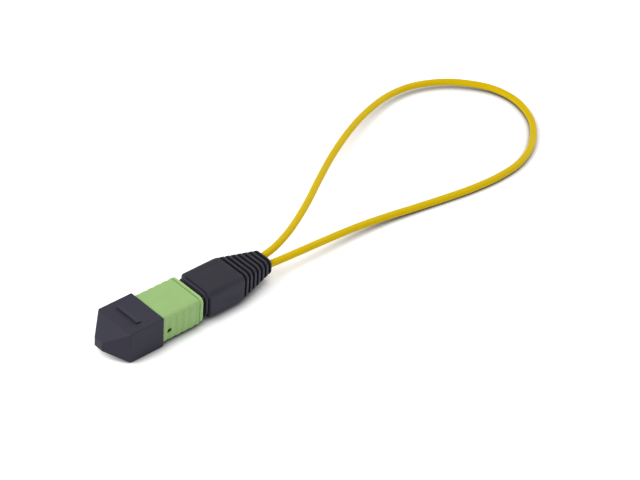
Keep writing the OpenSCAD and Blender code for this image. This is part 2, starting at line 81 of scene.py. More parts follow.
class Value:
    """What a node's socket gives. Arithmetic on it adds Math nodes."""

    def __init__(self, finish, socket):
        self.finish = finish
        self.socket = socket

    def math(self, operation, *others):
        return self.finish.node("Math", {"operation": operation}, [self, *others])

    def __add__(self, other):
        return self.math("ADD", other)

    __radd__ = __add__

    def __mul__(self, other):
        return self.math("MULTIPLY", other)

    __rmul__ = __mul__

    def __sub__(self, other):
        return self.math("SUBTRACT", other)

    def __rsub__(self, other):
        return self.finish.node("Math", {"operation": "SUBTRACT"}, [other, self])

    def between(self, low, high):
        """0 below low, 1 above high, and a smooth step from one to the other."""
        settings = {"interpolation_type": "SMOOTHSTEP"}
        return self.finish.node("MapRange", settings, {"Value": self, "From Min": low, "From Max": high})


class Finish:
    """A procedural material on one principled shader."""

    def __init__(self, name, **sockets):
        self.material = bpy.data.materials.new(name)
        self.material.use_nodes = True
        self.tree = self.material.node_tree
        self.shader = self.tree.nodes["Principled BSDF"]
        self.place = self.node("TexCoord", output="Object")
        self.set(**sockets)

    def node(self, kind, settings=None, inputs=(), output=0):
        """Adds a node with its settings first, then its sockets' values or links."""
        node = self.tree.nodes.new("ShaderNode" + kind)
        for name, value in (settings or {}).items():
            setattr(node, name, value)
        pairs = inputs.items() if isinstance(inputs, dict) else enumerate(inputs)
        for key, value in pairs:
            self.fill(node.inputs[key], value)
        return Value(self, node.outputs[output])

    def fill(self, socket, value):
        if isinstance(value, Value):
            self.tree.links.new(value.socket, socket)
        else:
            socket.default_value = value

    def set(self, **sockets):
        """Fills the shader's sockets, named with _ for a space."""
        for name, value in sockets.items():
            self.fill(self.shader.inputs[name.replace("_", " ")], value)

    def along(self, axis):
        """The place on the piece along X, Y or Z."""
        return self.node("SeparateXYZ", None, [self.place], output=axis)

    def noise(self, size, detail=3.0, stretch=(1, 1, 1)):
        """Noise from 0 to 1 whose lumps are about size across, longer along a stretched axis."""
        scale = tuple(1 / (size * s) for s in stretch)
        place = self.node("Mapping", None, {"Vector": self.place, "Scale": scale})
        inputs = {"Vector": place, "Scale": 1.0, "Detail": detail, "Roughness": 0.55}
        return self.node("TexNoise", None, inputs)

    def mix(self, share, first, second):
        """Between two colours, as far as share says. A Mix node's colours are inputs 6 and 7."""
        colours = [c if isinstance(c, Value) else (*c, 1) for c in (first, second)]
        return self.node("Mix", {"data_type": "RGBA"}, {0: share, 6: colours[0], 7: colours[1]}, output=2)

    def mottle(self, colour, spread):
        """The colour in long clouds, lighter and darker by up to the spread."""
        shade = self.noise(CLOUD, stretch=FLOW) * (2 * spread) + (1 - spread)
        settings = {"data_type": "RGBA", "blend_type": "MULTIPLY"}
        return self.node("Mix", settings, {0: 1.0, 6: colour, 7: shade}, output=2)

    def bumps(self, *layers):
        """Stacks bumps, each a height from 0 to 1 and its depth in metres."""
        normal = None
        for height, depth in layers:
            inputs = {"Height": height, "Distance": depth, "Strength": 1.0}
            if normal:
                inputs["Normal"] = normal
            normal = self.node("Bump", None, inputs)
        self.set(Normal=normal)


def tint(colour, share):
    """The colour made lighter, or darker where share is below 1."""
    return tuple(min(1.0, c * share) for c in colour)


def moulded(name, colour, roughness, grain, depth, gloss=0.5):
    """Moulded plastic or rubber: an eroded grain, faint flow marks and a slightly uneven gloss.

    Where colour is None, the piece's own section sets the colour.
    """
    finish = Finish(name, IOR=1.5, Specular_IOR_Level=gloss)
    clouds = finish.noise(CLOUD, stretch=FLOW)
    fine = finish.noise(grain, detail=4)
    if colour:
        patches = clouds * 0.7 + fine * 0.3
        finish.set(Base_Color=finish.mix(patches, tint(colour, 0.9), tint(colour, 1.1)))
    finish.set(Roughness=roughness - 0.06 + clouds * 0.08 + fine * 0.04)
    finish.bumps((clouds, depth), (fine, depth))
    return finish


def select_only(piece):
    """Object mode, with this piece alone selected and active."""
    if bpy.context.object and bpy.context.object.mode == "EDIT":
        bpy.ops.object.mode_set(mode="OBJECT")
    bpy.ops.object.select_all(action="DESELECT")
    piece.select_set(True)
    bpy.context.view_layer.objects.active = piece


def apply_modifier(piece, kind, **settings):
    """Adds a modifier and applies it."""
    select_only(piece)
    modifier = piece.modifiers.new(kind, kind)
    for name, value in settings.items():
        setattr(modifier, name, value)
    bpy.ops.object.modifier_apply(modifier=modifier.name)


def smooth(piece, angle):
    """Shades the piece smooth apart from its sharp edges."""
    select_only(piece)
    bpy.ops.object.shade_smooth_by_angle(angle=math.radians(angle))
    apply_modifier(piece, "WEIGHTED_NORMAL", keep_sharp=True)


def break_edges(piece, width, angle):
    """Rounds a piece's sharp edges a little, as a mould or a deburring leaves them."""
    limit = math.radians(angle)
    apply_modifier(piece, "BEVEL", width=width, segments=2, limit_method="ANGLE", angle_limit=limit)


def softened(node, edge, angle=35):
    """A copy of a solid with its sharp edges broken."""
    piece = bpy.data.objects.new(node + "_soft", frame["nodes"][node].data.copy())
    bpy.context.collection.objects.link(piece)
    piece.data.materials.clear()
    select_only(piece)
    bpy.ops.object.mode_set(mode="EDIT")
    bpy.ops.mesh.select_all(action="SELECT")
    bpy.ops.mesh.remove_doubles(threshold=WELD)
    bpy.ops.mesh.dissolve_limited(angle_limit=math.radians(0.5))
    bpy.ops.object.mode_set(mode="OBJECT")
    break_edges(piece, edge, angle)
    smooth(piece, angle)
    return piece


def fit_out(piece, finish, body, node):
    """Gives a finished piece its material and its body, and hides the solid that it stands for."""
    piece.data.materials.clear()
    piece.data.materials.append(finish.material)
    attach(piece, body)
    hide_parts(node)


def coat(node, finish):
    """Gives a solid that stays as it is its material."""
    for place in frame["nodes"][node].material_slots:
        place.material = finish.material


ferrule_low, ferrule_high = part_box("ferrule")
AXIS_Z = (ferrule_low.z + ferrule_high.z) / 2

ferrule_finish = moulded("Ferrule plastic", FERRULE_BLACK, roughness=0.3, grain=0.12 * MM, depth=0.002 * MM)
ferrule_finish.set(Coat_Weight=0.3, Coat_Roughness=0.12)
ferrule = softened("ferrule", FERRULE_EDGE, angle=60)
fit_out(ferrule, ferrule_finish, "ferrule_unit", "ferrule")


# ---- Fibres ----
# Six looped fibres, each with both its ends in the ferrule. They are bare
# glass in the ferrule and lacquered in the six trade colours behind it, and
# they part into two layers before they enter the cord.

FIBRES = {
    "fibre_1_12": ("fibre_blue", (0.02, 0.1, 0.5)),
    "fibre_2_11": ("fibre_orange", (0.8, 0.22, 0.02)),
    "fibre_3_10": ("fibre_green", (0.02, 0.3, 0.06)),
    "fibre_4_9": ("fibre_brown", (0.17, 0.06, 0.02)),
    "fibre_5_8": ("fibre_slate", (0.2, 0.22, 0.25)),
    "fibre_6_7": ("fibre_white", (0.8, 0.8, 0.76)),
}
GLASS_COLOUR = (0.75, 0.8, 0.82)
FIBRE_PITCH = 0.25 * MM
FIBRE_R = 0.115 * MM
GLASS_R = 0.0625 * MM
WIRE_ROUNDNESS = 2
BUNCH_PITCH = 0.28 * MM
LAYER_RISE = 0.165 * MM
OUTLET_Y = 1.9 * MM
WINDOW_SETBACK = 5.1 * MM
BARE_L = 0.1 * MM
STRIP_L = 0.3 * MM
FAN_SETBACK = 0.5 * MM
FAN_PAST = 2.1 * MM
FAN_STEPS = 24

fibre_low, fibre_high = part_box("fibre_1_12")
window_x = ferrule_high.x - WINDOW_SETBACK
fan_x0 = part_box("ferrule_boot")[1].x + FAN_SETBACK
fan_x1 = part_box("rear_body")[1].x + FAN_PAST


def ease(t):
    """A smooth step from 0 to 1."""
    t = min(1.0, max(0.0, t))
    return t * t * (3 - 2 * t)


def wire(name, runs, radius):
    """A mesh tube along each run. A run is its points, and a share of the radius for each."""
    curve = bpy.data.curves.new(name, "CURVE")
    curve.dimensions = "3D"
    curve.bevel_depth = radius
    curve.bevel_resolution = WIRE_ROUNDNESS
    curve.use_fill_caps = True
    for points, shares in runs:
        spline = curve.splines.new("POLY")
        spline.points.add(len(points) - 1)
        for corner, point, share in zip(spline.points, points, shares):
            corner.co = (*point, 1)
            corner.radius = share
    piece = bpy.data.objects.new(name, curve)
    bpy.context.collection.objects.link(piece)
    select_only(piece)
    bpy.ops.object.convert(target="MESH")
    piece = bpy.context.object
    bpy.ops.object.mode_set(mode="EDIT")
    bpy.ops.mesh.select_all(action="SELECT")
    bpy.ops.mesh.remove_doubles(threshold=WELD)
    bpy.ops.mesh.normals_make_consistent(inside=False)
    smooth(piece, 50)
    return piece


def fibre_run(place):
    """The points of one fibre from the face to the cord, with its radius at each."""
    side = -1 if place < 6 else 1
    row_y = (place - 5.5) * FIBRE_PITCH
    bunch_y = side * OUTLET_Y + (place % 6 // 2 - 1) * BUNCH_PITCH
    bunch_z = (1 if place % 2 == 0 else -1) * LAYER_RISE
    glass = GLASS_R / FIBRE_R
    bare_x = window_x + BARE_L
    points = [(x, row_y, AXIS_Z) for x in (fibre_low.x, bare_x, bare_x + STRIP_L)]
    shares = [glass, glass, 1]
    for step in range(FAN_STEPS + 1):
        t = step / FAN_STEPS
        y = row_y + (bunch_y - row_y) * ease(2 * t - 1)
        points.append((fan_x0 + t * (fan_x1 - fan_x0), y, AXIS_Z + bunch_z * ease(2 * t)))
        shares.append(1)
    points.append((fibre_high.x, bunch_y, AXIS_Z + bunch_z))
    shares.append(1)
    return points, shares


def lacquered(name, colour):
    """Coloured lacquer on the fibre, with the clear glass end left bare in the ferrule."""
    finish = Finish(name, Roughness=0.25, Coat_Weight=0.4, Coat_Roughness=0.1)
    patches = finish.noise(0.6 * MM, stretch=FLOW)
    lacquer = finish.mix(patches, tint(colour, 0.85), tint(colour, 1.15))
    covered = finish.along("X").between(window_x, window_x + STRIP_L)
    finish.set(Base_Color=finish.mix(covered, GLASS_COLOUR, lacquer))
    return finish


for place, (node, (slot, colour)) in enumerate(FIBRES.items()):
    fibre = wire(node + "_strand", [fibre_run(place), fibre_run(11 - place)], FIBRE_R)
    fibre.data.materials.append(lacquered(slot.replace("_", " ").capitalize(), colour).material)
    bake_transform(fibre)
    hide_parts(node)


# ---- Window adhesive, insert and pin keeper ----
# Amber adhesive fills the ferrule's window over the fibres, a rubber insert
# guides them in from behind, and a stamped steel keeper backs the ferrule.

AMBER_DARK = (0.36, 0.2, 0.04)
AMBER_LIGHT = (0.55, 0.36, 0.1)
INSERT_BLACK = (0.015, 0.015, 0.016)
KEEPER_GREY = (0.6, 0.6, 0.62)

adhesive = Finish("Amber adhesive", Roughness=0.2, Coat_Weight=0.5)
swirl = adhesive.noise(0.8 * MM)
adhesive.set(Base_Color=adhesive.mix(swirl, AMBER_DARK, AMBER_LIGHT))
adhesive.bumps((swirl, 0.01 * MM))
coat("window_epoxy", adhesive)

insert_rubber = moulded("Insert rubber", INSERT_BLACK, roughness=0.75, grain=0.08 * MM, depth=0.004 * MM)
insert = softened("ferrule_boot", edge=0.05 * MM)
fit_out(insert, insert_rubber, "ferrule_unit", "ferrule_boot")


def drawn_steel(name, colour, roughness, grain):
    """Bare metal with the fine lines that rolling or drawing leaves along X."""
    finish = Finish(name, Metallic=1.0)
    lines = finish.noise(grain, detail=5, stretch=(12, 1, 1))
    stains = finish.noise(2 * MM)
    finish.set(
        Base_Color=finish.mix(stains * 0.5 + lines * 0.5, tint(colour, 0.86), tint(colour, 1.1)),
        Roughness=roughness - 0.05 + lines * 0.12,
    )
    finish.bumps((lines, 0.001 * MM))
    return finish


keeper_steel = drawn_steel("Keeper steel", KEEPER_GREY, roughness=0.3, grain=0.06 * MM)
keeper = softened("pin_keeper", edge=0.06 * MM)
fit_out(keeper, keeper_steel, "ferrule_unit", "pin_keeper")


# ---- Springs ----
# An oval main spring presses the ferrule forward, and two thin springs in the
# housing's side channels bring the sleeve back. All are wound from bright
# steel wire, and their end turns lie flat.

SPRING_GREY = (0.62, 0.62, 0.64)
MAIN_WIRE_D = 0.45 * MM
THIN_WIRE_D = 0.25 * MM

spring_steel = drawn_steel("Spring steel", SPRING_GREY, roughness=0.22, grain=0.05 * MM)


def travel(name):
    """The length of a sliding joint's range."""
    joint = next(j for j in frame["joints"] if j["name"] == name)
    return joint["range_m"][1]


def coil(node, wire_d, turns, steps, joint):
    """A wound spring in a solid's place, with so many steps a turn.
    """
    low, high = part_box(node)
    middle = (low + high) / 2
    length = high.x - low.x
    points = []
    for step in range(turns * steps + 1):
        turn = step / steps
        if turn < 1:
            x = (turn + 1) * wire_d / 2
        elif turn > turns - 1:
            x = length - (turns - turn + 1) * wire_d / 2
        else:
            x = wire_d + (turn - 1) * (length - 2 * wire_d) / (turns - 2)
        angle = 2 * math.pi * turn
        y = (high.y - low.y - wire_d) / 2 * math.cos(angle)
        z = (high.z - low.z - wire_d) / 2 * math.sin(angle)
        points.append((low.x + x, middle.y + y, middle.z + z))
    spring = wire(node + "_coil", [(points, [1] * len(points))], wire_d / 2)
    fit_out(spring, spring_steel, "plug", node)
    1 - travel(joint) / length
    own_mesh(spring)


coil("main_spring", MAIN_WIRE_D, turns=6, steps=40, joint="ferrule_float")
for side in ("left", "right"):
    coil("coupling_spring_" + side, THIN_WIRE_D, turns=13, steps=20, joint="sleeve_slide")


# ---- Plug housing ----
# The black inner housing with the key on top, which goes into the adapter. It
# holds the ferrule behind its front opening and is moulded in one piece.

HOUSING_BLACK = (0.014, 0.014, 0.016)

housing_plastic = moulded(
    "Housing plastic", HOUSING_BLACK, roughness=0.45, grain=0.1 * MM, depth=0.003 * MM, gloss=0.3
)
housing = softened("plug_housing", edge=0.1 * MM)
fit_out(housing, housing_plastic, "plug", "plug_housing")


# ---- Coupling sleeve ----
# The light-green sleeve that is pulled back to release the plug. Upright
# finger grooves divide each side into five lobes, a rim closes the rear, and
# each side has a small slanted slot near the front.

RIM_L = 1.1 * MM
RIM_RISE = 0.1 * MM
RIM_R = 1.7 * MM
RIM_LOW_R = 2.4 * MM
RIM_GROOVE = 0.15 * MM
RIM_EDGE = 0.3 * MM
RIM_FRONT_EDGE = 0.05 * MM
MOUTH_EDGE = 0.3 * MM
LOBES = 5
LOBE_PITCH = 2.3 * MM
LOBE_SETBACK = 1.35 * MM
LOBE_DEPTH = 0.23 * MM
LOBE_POWER = 2.5
LOBE_STEPS = 8
SLOT_R = 0.55 * MM
SLOT_STRETCH = 0.25 * MM
SLOT_TILT = math.radians(-25)
SLOT_LOBES_BACK = 1.1  # from where the lobes begin, in lobes
SLOT_DROP = 0.8 * MM
SLOT_ROOM_L = 2 * MM
SLOT_ROOM_H = 1.6 * MM
SLOT_WALL = 0.3 * MM
SLEEVE_R = 1.2 * MM
BORE_R = 0.4 * MM
FLANGE_ROOM_L = 0.9 * MM
FLANGE_R = 2.3 * MM
CHANNEL_PAST = 0.3 * MM
TAB_L = 1 * MM
TAB_D = 1.1 * MM
SLIDING = 0.1 * MM  # play of a sliding fit
CUT_PAST = 1 * MM  # how far a cut runs out of a piece
HAIR = 0.01 * MM  # slack where places are compared
# Along the rim's rear edge the green is painted lighter: a painted highlight.
LIP_L = 0.4 * MM
LIP_FADE = 0.15 * MM
LIP_HIGHLIGHT_TINT = 1.3
# In the groove in front of the rim the green is painted darker on top: painted shade.
LINE_FADE = 0.1 * MM
LINE_DROP = 0.4 * MM
LINE_SHADE_TINT = 0.72
SLEEVE_CLOUDS = 0.08
SLEEVE_GREEN = (0.325, 0.525, 0.19)

sleeve_low, sleeve_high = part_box("coupling_sleeve")
housing_low, housing_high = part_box("plug_housing")
body_low, body_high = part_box("rear_body")
spring_low, spring_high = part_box("coupling_spring_left")
sleeve_w = sleeve_high.y - sleeve_low.y - 2 * RIM_RISE
sleeve_h = sleeve_high.z - sleeve_low.z - 2 * RIM_RISE
housing_w = housing_high.y - housing_low.y
housing_h = 2 * (AXIS_Z - housing_low.z)
flange_w = body_high.y - body_low.y
flange_h = body_high.z - body_low.z
rim_x = sleeve_high.x - RIM_L
lobe_x0 = rim_x - LOBE_SETBACK - LOBES * LOBE_PITCH
slot_x = lobe_x0 + SLOT_LOBES_BACK * LOBE_PITCH
slot_z = AXIS_Z - SLOT_DROP


def block(name, x0, x1, width, height, y=0.0, z=AXIS_Z):
    """A block between two stations along the plug, left open in edit mode."""
    bpy.ops.object.select_all(action="DESELECT")
    place = ((x0 + x1) / 2, y, z)
    bpy.ops.mesh.primitive_cube_add(size=1, location=place, scale=(x1 - x0, width, height))
    bpy.ops.object.transform_apply(location=True, rotation=True, scale=True)
    piece = bpy.context.object
    piece.name = piece.data.name = name
    bpy.ops.object.mode_set(mode="EDIT")
    return piece


def near(a, b):
    """Whether two places are one to within half a hair."""
    return abs(a - b) < HAIR / 2


def runs_along(edge):
    """Whether an edge lies along the plug."""
    run = edge.verts[0].co - edge.verts[1].co
    return abs(run.x) > abs(run.y) + abs(run.z)


def pick(kind, test, lengthwise=False):
    """In edit mode, selects the VERTs, EDGEs or FACEs whose corners all pass the test.

    Where lengthwise is set, it takes only edges that lie along the plug.
    """
    bpy.ops.mesh.select_mode(type=kind)
    bpy.ops.mesh.select_all(action="DESELECT")
    mesh = bmesh.from_edit_mesh(bpy.context.object.data)
    parts = {"VERT": mesh.verts, "EDGE": mesh.edges, "FACE": mesh.faces}[kind]
    for part in parts:
        corners = [part.co] if kind == "VERT" else [corner.co for corner in part.verts]
        passes = all(test(corner) for corner in corners)
        part.select_set(passes and (not lengthwise or runs_along(part)))
    mesh.select_flush_mode()
    bmesh.update_edit_mesh(bpy.context.object.data)


def round_long_edges(width, height, radius, segments=8, top=True, bottom=True):
    """In edit mode, rounds those edges of a block on the axis that run along the plug."""
    def on_long_edge(c):
        on_top = top and near(c.z, AXIS_Z + height / 2)
        on_bottom = bottom and near(c.z, AXIS_Z - height / 2)
        return near(abs(c.y), width / 2) and (on_top or on_bottom)
    pick("EDGE", on_long_edge, lengthwise=True)
    bpy.ops.mesh.bevel(offset=radius, segments=segments, affect="EDGES")


def bevel_at(x, offset, segments):
    """In edit mode, bevels the edges that lie across the plug at x."""
    pick("EDGE", lambda c: near(c.x, x))
    bpy.ops.mesh.bevel(offset=offset, segments=segments, affect="EDGES")


def extrude_along(distance):
    """In edit mode, extrudes the selected faces along the plug."""
    bpy.ops.mesh.extrude_region_move(TRANSFORM_OT_translate={"value": (distance, 0, 0)})


def combine(piece, other, operation="DIFFERENCE"):
    """Cuts the other piece out of this one, or joins it on, and deletes it."""
    apply_modifier(piece, "BOOLEAN", object=other, operation=operation, solver="EXACT")
    bpy.data.objects.remove(other)


def bar(name, x0, x1, width, height, radius, y=0.0):
    """A finished block with rounded long edges."""
    piece = block(name, x0, x1, width, height, y)
    if radius > 0:
        round_long_edges(width, height, radius)
    bpy.ops.object.mode_set(mode="OBJECT")
    return piece


def grip_lobes():
    """In edit mode, draws the sides in between the sleeve's lobes."""
    steps = range(LOBES * LOBE_STEPS + 1)
    xs = [lobe_x0 + step * LOBE_PITCH / LOBE_STEPS for step in steps]
    for x in xs:
        bpy.ops.mesh.select_all(action="SELECT")
        bpy.ops.mesh.bisect(plane_co=(x, 0, 0), plane_no=(1, 0, 0))
    for step, x in zip(steps, xs):
        share = abs(2 * (step % LOBE_STEPS) / LOBE_STEPS - 1)
        inward = LOBE_DEPTH * share ** LOBE_POWER
        for side in (-1, 1):
            pick("VERT", lambda c: near(c.x, x) and side * c.y > sleeve_w / 2 - SLEEVE_R - HAIR)
            bpy.ops.transform.translate(value=(0, -side * inward, 0))


sleeve_x1 = rim_x - RIM_GROOVE
sleeve = block("sliding_sleeve", sleeve_low.x, sleeve_x1, sleeve_w, sleeve_h)
round_long_edges(sleeve_w, sleeve_h, SLEEVE_R)
grip_lobes()
pick("FACE", lambda c: near(c.x, sleeve_x1))
bpy.ops.mesh.inset(thickness=RIM_GROOVE)
extrude_along(1.2 * RIM_GROOVE)
bevel_at(sleeve_low.x, MOUTH_EDGE, 3)
bpy.ops.object.mode_set(mode="OBJECT")

rim_w = sleeve_w + 2 * RIM_RISE
rim_h = sleeve_h + 2 * RIM_RISE
rim = block("rim", rim_x, sleeve_high.x, rim_w, rim_h)
round_long_edges(rim_w, rim_h, RIM_R, bottom=False)
round_long_edges(rim_w, rim_h, RIM_LOW_R, top=False)
bevel_at(sleeve_high.x, RIM_EDGE, 4)
bevel_at(rim_x, RIM_FRONT_EDGE, 2)
bpy.ops.object.mode_set(mode="OBJECT")
combine(sleeve, rim, "UNION")

combine(sleeve, bar("bore", sleeve_low.x - CUT_PAST, sleeve_high.x + CUT_PAST,
                    housing_w + 2 * SLIDING, housing_h + 2 * SLIDING, BORE_R))
combine(sleeve, bar("counterbore", sleeve_high.x - FLANGE_ROOM_L, sleeve_high.x + CUT_PAST,
                    flange_w + 2 * SLIDING, flange_h + 2 * SLIDING, FLANGE_R + SLIDING))
spring_d = spring_high.z - spring_low.z
spring_y = (spring_low.y + spring_high.y) / 2
for side in (-1, 1):
    combine(sleeve, bar("channel", spring_low.x, spring_high.x + CHANNEL_PAST,
                        spring_d + SLIDING, spring_d + 2 * SLIDING, 0, y=side * spring_y))
    tab_y = housing_w / 2 + 2 * SLIDING - TAB_D / 2
    tab = bar("tab", spring_low.x - TAB_L, spring_low.x, TAB_D, spring_d, 0, y=side * tab_y)
    combine(sleeve, tab, "UNION")

bpy.ops.object.select_all(action="DESELECT")
bpy.ops.mesh.primitive_cylinder_add(vertices=24, radius=SLOT_R, depth=2 * sleeve_w,
                                    rotation=(math.pi / 2, 0, 0))
bpy.ops.object.transform_apply(rotation=True)
slot_cutter = bpy.context.object
bpy.ops.object.mode_set(mode="EDIT")
for end in (-1, 1):
    pick("VERT", lambda c: end * c.x > HAIR)
    bpy.ops.transform.translate(value=(end * SLOT_STRETCH, 0, 0))
bpy.ops.object.mode_set(mode="OBJECT")
slot_cutter.rotation_euler = (0, SLOT_TILT, 0)
slot_cutter.location = (slot_x, 0, slot_z)
bpy.ops.object.transform_apply(location=True, rotation=True)
combine(sleeve, slot_cutter)
slot_room = block("slot_room", slot_x - SLOT_ROOM_L / 2, slot_x + SLOT_ROOM_L / 2,
                  sleeve_w - 2 * SLOT_WALL, SLOT_ROOM_H, z=slot_z)
bpy.ops.object.mode_set(mode="OBJECT")
combine(sleeve, slot_room)
smooth(sleeve, 30)

sleeve_green = moulded("Sleeve green", None, roughness=0.4, grain=0.12 * MM, depth=0.003 * MM, gloss=0.25)
along = sleeve_green.along("X")
# Painted highlight: a band along the rim's rear edge is made lighter.
lip_x = sleeve_high.x - LIP_L
painted_lip_highlight = along.between(lip_x - LIP_FADE, lip_x)
# Painted shade: the groove in front of the rim is darkened, on the top only.
painted_shade_line = along.between(sleeve_x1 - LINE_FADE, sleeve_x1) * (1 - along.between(rim_x, rim_x + LINE_FADE))
on_top = sleeve_green.along("Z").between(sleeve_high.z - 2 * LINE_DROP, sleeve_high.z - LINE_DROP)
green = sleeve_green.mix(painted_lip_highlight, SLEEVE_GREEN, tint(SLEEVE_GREEN, LIP_HIGHLIGHT_TINT))
green = sleeve_green.mix(painted_shade_line * on_top, green, tint(SLEEVE_GREEN, LINE_SHADE_TINT))
sleeve_green.set(Base_Color=sleeve_green.mottle(green, SLEEVE_CLOUDS))
fit_out(sleeve, sleeve_green, "sleeve", "coupling_sleeve")


# ---- Rear body, yarn and crimp ring ----
# The black body locks into the housing with two barbs and shows as a ring
# behind the sleeve. The cord's yarn is spread over its ribbed post and
# clamped there by an oval crimp ring.

BODY_EDGE = 0.12 * MM
RING_SETBACK = 0.35 * MM
BODY_BLACK = (0.042, 0.038, 0.06)
YARN_DARK = (0.45, 0.32, 0.06)
YARN_LIGHT = (0.85, 0.7, 0.25)
CRIMP_GREY = (0.62, 0.6, 0.56)

body_plastic = moulded(
    "Body plastic", BODY_BLACK, roughness=0.5, grain=0.12 * MM, depth=0.004 * MM, gloss=0.2
)
rear_body = softened("rear_body", BODY_EDGE)
bpy.ops.object.mode_set(mode="EDIT")
pick("VERT", lambda c: -HAIR < c.x - housing_high.x < BODY_EDGE + HAIR)
bpy.ops.transform.translate(value=(RING_SETBACK, 0, 0))
bpy.ops.object.mode_set(mode="OBJECT")
fit_out(rear_body, body_plastic, "plug", "rear_body")

yarn_finish = Finish("Aramid yarn", Roughness=0.55, Sheen_Weight=0.4)
strands = yarn_finish.noise(0.04 * MM, detail=5, stretch=(30, 1, 1))
yarn_finish.set(Base_Color=yarn_finish.mix(strands, YARN_DARK, YARN_LIGHT))
yarn_finish.bumps((strands, 0.02 * MM))
for side in ("left", "right"):
    coat("yarn_" + side, yarn_finish)

crimp_metal = drawn_steel("Crimp metal", CRIMP_GREY, roughness=0.34, grain=0.08 * MM)
crimp_ring = softened("crimp_ring", edge=0.08 * MM)
fit_out(crimp_ring, crimp_metal, "plug", "crimp_ring")


# ---- Bend boot ----
# The soft black boot over the crimp. Its tail narrows towards the cord, and
# seven grooves let it bend. The cord leaves it through two holes side by side.

NECK_L = 0.55 * MM
NECK_STEP = 0.6 * MM
BODY_L = 11.45 * MM
BOOT_R = 1.7 * MM
BOOT_FRONT_EDGE = 0.35 * MM
RIB_EDGE = 0.07 * MM
TAIL_BEND = 0.9 * MM
TAIL_W = 7.2 * MM
TAIL_H = 5 * MM
PLAIN_L = 0.75 * MM
END_RING_L = 0.55 * MM
GROOVES = 7
GROOVE_L = 0.8 * MM
GROOVE_DEPTH = 0.65 * MM
OUTLET_R = 1.1 * MM
OUTLET_PAST = 2 * MM
# Painted shade: the grooves, and a little past their edges, are painted darker.
GROOVE_SHADE_REACH = 0.04 * MM  # how far a groove's dark reaches past its edges
GROOVE_SHADE_TINT = 0.3
BOOT_CLOUDS = 0.25
# The boot's sides are painted lighter and bluer than its top: painted light.
BOOT_TOP = (0.033, 0.032, 0.042)
BOOT_SIDE_PAINTED_LIGHT = (0.044, 0.043, 0.062)

boot_low, boot_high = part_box("bend_boot")
crimp_low, crimp_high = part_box("crimp_ring")
boot_w = boot_high.y - boot_low.y
boot_h = boot_high.z - boot_low.z
boot_x0 = boot_low.x + NECK_L
boot_x1 = boot_x0 + BODY_L
groove_x0 = boot_x1 + PLAIN_L
groove_pitch = (boot_high.x - END_RING_L - GROOVE_L - groove_x0) / (GROOVES - 1)
groove_xs = [groove_x0 + i * groove_pitch for i in range(GROOVES)]

boot = block("ribbed_boot", boot_x0, boot_x1, boot_w, boot_h)
round_long_edges(boot_w, boot_h, BOOT_R)
pick("FACE", lambda c: near(c.x, boot_x1))
extrude_along(boot_high.x - boot_x1)
for side in (-1, 1):
    pick("VERT", lambda c: near(c.x, boot_high.x) and side * c.y > 0)
    bpy.ops.transform.translate(value=(0, -side * (boot_w - TAIL_W) / 2, 0))
    pick("VERT", lambda c: near(c.x, boot_high.x) and side * (c.z - AXIS_Z) > 0)
    bpy.ops.transform.translate(value=(0, 0, -side * (boot_h - TAIL_H) / 2))
bevel_at(boot_x1, TAIL_BEND, 4)
for x in groove_xs:
    for edge in (x, x + GROOVE_L):
        bpy.ops.mesh.select_all(action="SELECT")
        bpy.ops.mesh.bisect(plane_co=(edge, 0, 0), plane_no=(1, 0, 0))
for x in groove_xs:
    pick("FACE", lambda c: x - HAIR < c.x < x + GROOVE_L + HAIR)
    bpy.ops.mesh.extrude_region_shrink_fatten(TRANSFORM_OT_shrink_fatten={"value": -GROOVE_DEPTH})
bevel_at(boot_x0, BOOT_FRONT_EDGE, 4)
pick("FACE", lambda c: near(c.x, boot_x0))
bpy.ops.mesh.inset(thickness=NECK_STEP)
extrude_along(-NECK_L)
bpy.ops.object.mode_set(mode="OBJECT")

crimp_w = crimp_high.y - crimp_low.y
crimp_h = crimp_high.z - crimp_low.z
outlet_l = boot_high.x - fan_x1 + 2 * OUTLET_PAST
outlet_x = (boot_high.x + fan_x1) / 2
combine(boot, bar("crimp_room", boot_low.x - CUT_PAST, fan_x1, crimp_w + 2 * SLIDING,
                  crimp_h + 2 * SLIDING, crimp_h / 2))
for side in (-1, 1):
    bpy.ops.object.select_all(action="DESELECT")
    bpy.ops.mesh.primitive_cylinder_add(vertices=48, radius=OUTLET_R, depth=outlet_l,
                                        location=(outlet_x, side * OUTLET_Y, AXIS_Z),
                                        rotation=(0, math.pi / 2, 0))
    bpy.ops.object.transform_apply(location=True, rotation=True)
    combine(boot, bpy.context.object)
break_edges(boot, RIB_EDGE, 30)
smooth(boot, 35)

boot_rubber = moulded("Boot rubber", None, roughness=0.55, grain=0.14 * MM, depth=0.006 * MM, gloss=0.1)
along = boot_rubber.along("X")
# Painted shade in the grooves: there the colour is darkened.
phase = ((along - groove_x0 + GROOVE_SHADE_REACH) * (1 / groove_pitch)).math("FRACT")
ridge = phase.between(GROOVE_L / groove_pitch, (GROOVE_L + 2 * GROOVE_SHADE_REACH) / groove_pitch)
tail = along.between(groove_x0 - 2 * GROOVE_SHADE_REACH, groove_x0 - GROOVE_SHADE_REACH)
# Painted light: faces that point less upwards are painted lighter than the top.
facing = boot_rubber.node("TexCoord", output="Normal")
painted_light_by_facing = boot_rubber.node("SeparateXYZ", None, [facing], output="Z").between(0.3, 0.8)
black = boot_rubber.mix(painted_light_by_facing, BOOT_SIDE_PAINTED_LIGHT, BOOT_TOP)
black = boot_rubber.mix(tail * (1 - ridge), black, tint(BOOT_TOP, GROOVE_SHADE_TINT))
boot_rubber.set(Base_Color=boot_rubber.mottle(black, BOOT_CLOUDS))
fit_out(boot, boot_rubber, "plug", "bend_boot")


# ---- Cord ----
# One yellow cord, some 2 mm thick, that leaves the boot on the near side, makes
# a drop-shaped loop and comes back into it on the far side. Its jacket is
# extruded, smooth and slightly wavy.

